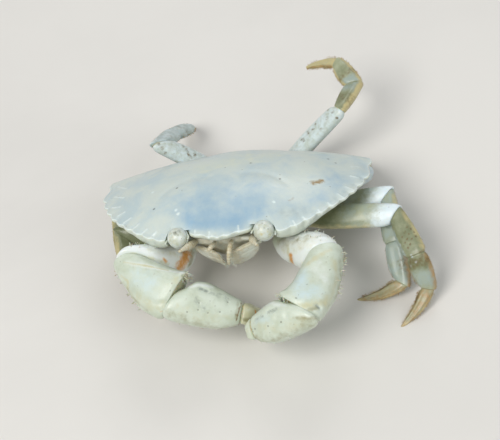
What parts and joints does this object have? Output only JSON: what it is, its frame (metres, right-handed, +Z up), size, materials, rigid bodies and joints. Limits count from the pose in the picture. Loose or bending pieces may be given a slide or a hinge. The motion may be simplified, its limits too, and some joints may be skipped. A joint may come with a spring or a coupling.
{
  "type": "red rock crab",
  "caption": "Life-size still model of a young pale crab, claws drawn in before its face, standing on the tips of its walking legs.",
  "frame": {"origin": "middle of the footprint's bounding box, on the surface that the leg tips stand on", "axes": "+Z up, -Y the way the crab faces, +X to the crab's own left"},
  "size_m": [0.0579, 0.0617, 0.0201],
  "materials": {
    "shell": "satin shell, pale blue-grey",
    "underside": "dull shell, cream to tan",
    "claw": "satin shell, greenish white",
    "leg": "satin shell, grey-white with tan bands",
    "eye": "glossy, silver-white"
  },
  "bodies": {
    "root": {"abdomen": "underside", "antenna_left": "underside", "antenna_right": "underside", "antennule_left": "underside", "antennule_right": "underside", "carapace": "shell", "eye_left": "eye", "eye_right": "eye", "left_claw_carpus": "claw", "left_claw_dactyl": "claw", "left_claw_merus": "claw", "left_claw_propodus": "claw", "left_leg_2_carpus": "leg", "left_leg_2_dactyl": "leg", "left_leg_2_merus": "leg", "left_leg_2_propodus": "leg", "left_leg_3_carpus": "leg", "left_leg_3_dactyl": "leg", "left_leg_3_merus": "leg", "left_leg_3_propodus": "leg", "left_leg_4_carpus": "leg", "left_leg_4_dactyl": "leg", "left_leg_4_merus": "leg", "left_leg_4_propodus": "leg", "left_leg_5_carpus": "leg", "left_leg_5_dactyl": "leg", "left_leg_5_merus": "leg", "left_leg_5_propodus": "leg", "maxilliped_left": "underside", "maxilliped_right": "underside", "right_claw_carpus": "claw", "right_claw_dactyl": "claw", "right_claw_merus": "claw", "right_claw_propodus": "claw", "right_leg_2_carpus": "leg", "right_leg_2_dactyl": "leg", "right_leg_2_merus": "leg", "right_leg_2_propodus": "leg", "right_leg_3_carpus": "leg", "right_leg_3_dactyl": "leg", "right_leg_3_merus": "leg", "right_leg_3_propodus": "leg", "right_leg_4_carpus": "leg", "right_leg_4_dactyl": "leg", "right_leg_4_merus": "leg", "right_leg_4_propodus": "leg", "right_leg_5_carpus": "leg", "right_leg_5_dactyl": "leg", "right_leg_5_merus": "leg", "right_leg_5_propodus": "leg", "underbody": "underside"}
  },
  "joints": []
}
